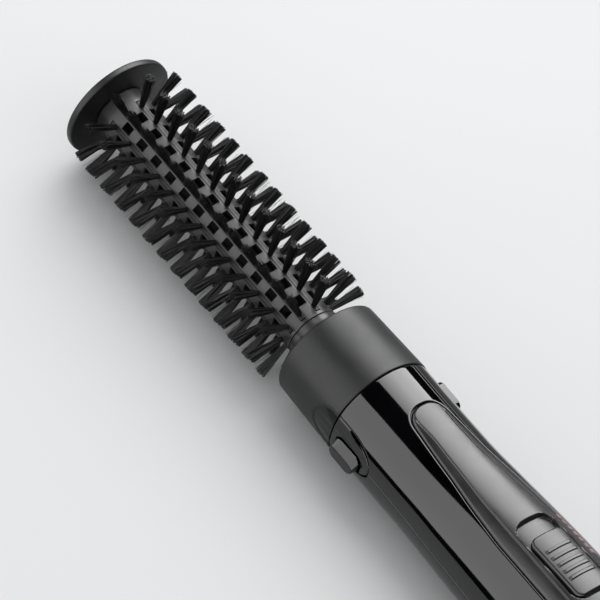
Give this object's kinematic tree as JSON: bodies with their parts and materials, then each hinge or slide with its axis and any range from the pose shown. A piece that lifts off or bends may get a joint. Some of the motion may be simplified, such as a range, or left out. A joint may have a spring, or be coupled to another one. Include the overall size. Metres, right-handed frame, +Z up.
{
  "type": "hot air brush",
  "caption": "Handheld hot air styling brush with round bristle barrel, vented tube, release buttons, slide switch and rear air inlet.",
  "frame": {"origin": "centre of the bounding box in plan, at the lowest point (Z = 0, the surface the brush lies on)", "axes": "+X along the common axis of brush and handle, from the brush tip to the rear of the handle; +Z up, the side with the slide switch; release buttons on -Y and +Y"},
  "size_m": [0.3316, 0.0402, 0.0441],
  "materials": {
    "matt_black": "fine matt moulded plastic",
    "barrel_grey": "satin heat-resistant plastic",
    "bristle_nylon": "stiff nylon filament tufts with flat-cut ends",
    "gloss_black": "piano black moulded plastic",
    "satin_grey": "satin soft-touch plastic",
    "inner_black": "plain moulded plastic",
    "steel": "plain steel",
    "brass": "plain brass",
    "heat_board": "mica and ceramic",
    "circuit_board": "green laminate",
    "fan_white": "natural moulded plastic"
  },
  "bodies": {
    "handle": {"upper_shell": "gloss_black", "lower_shell": "gloss_black", "top_panel": "satin_grey", "button_surround_left": "gloss_black", "button_surround_right": "gloss_black", "latch_spring_left": "steel", "latch_spring_right": "steel", "front_bulkhead": "inner_black", "nozzle_tube": "steel", "mica_frame": "heat_board", "heater_coil": "steel", "thermostat": "heat_board", "thermal_fuse": "brass", "fan_duct": "inner_black", "motor": "steel", "motor_mount": "inner_black", "rectifier_board": "circuit_board", "switch_body": "inner_black", "case_screw_front": "steel", "case_screw_rear": "steel", "rear_cap": "matt_black", "inlet_screen": "steel", "gland_washer": "steel"},
    "brush_head": {"end_disc": "matt_black", "tip_plug": "matt_black", "tip_screw": "steel", "core_rod": "inner_black", "barrel": "barrel_grey", "bristle_row_01": "bristle_nylon", "bristle_row_02": "bristle_nylon", "bristle_row_03": "bristle_nylon", "bristle_row_04": "bristle_nylon", "bristle_row_05": "bristle_nylon", "bristle_row_06": "bristle_nylon", "bristle_row_07": "bristle_nylon", "bristle_row_08": "bristle_nylon", "bristle_row_09": "bristle_nylon", "bristle_row_10": "bristle_nylon", "barrel_base": "matt_black", "collar": "matt_black", "collar_liner": "inner_black"},
    "release_button_left": {"release_button_left": "gloss_black"},
    "release_button_right": {"release_button_right": "gloss_black"},
    "switch_slider": {"switch_slider": "satin_grey"},
    "fan": {"fan_impeller": "fan_white", "fan_shaft": "steel"},
    "cord_gland": {"cord_gland": "matt_black"}
  },
  "joints": [
    {"name": "head_release", "type": "slide", "parent": "handle", "child": "brush_head", "axis": [-1, 0, 0], "range_m": [0, 0.03]},
    {"name": "release_left", "type": "slide", "parent": "handle", "child": "release_button_left", "axis": [0, 1, 0], "range_m": [0, 0.0015], "stiffness_N_per_m": 900, "springref_m": -0.0015},
    {"name": "release_right", "type": "slide", "parent": "handle", "child": "release_button_right", "axis": [0, -1, 0], "range_m": [0, 0.0015], "stiffness_N_per_m": 900, "springref_m": -0.0015},
    {"name": "power_switch", "type": "slide", "parent": "handle", "child": "switch_slider", "axis": [-1, 0, 0], "range_m": [0, 0.006]},
    {"name": "fan_spin", "type": "hinge", "parent": "handle", "child": "fan", "pos_m": [0.0243, 0, 0.02003], "axis": [1, 0, 0], "continuous": true},
    {"name": "cord_swivel", "type": "hinge", "parent": "handle", "child": "cord_gland", "pos_m": [0.1583, 0, 0.02003], "axis": [1, 0, 0], "continuous": true}
  ]
}
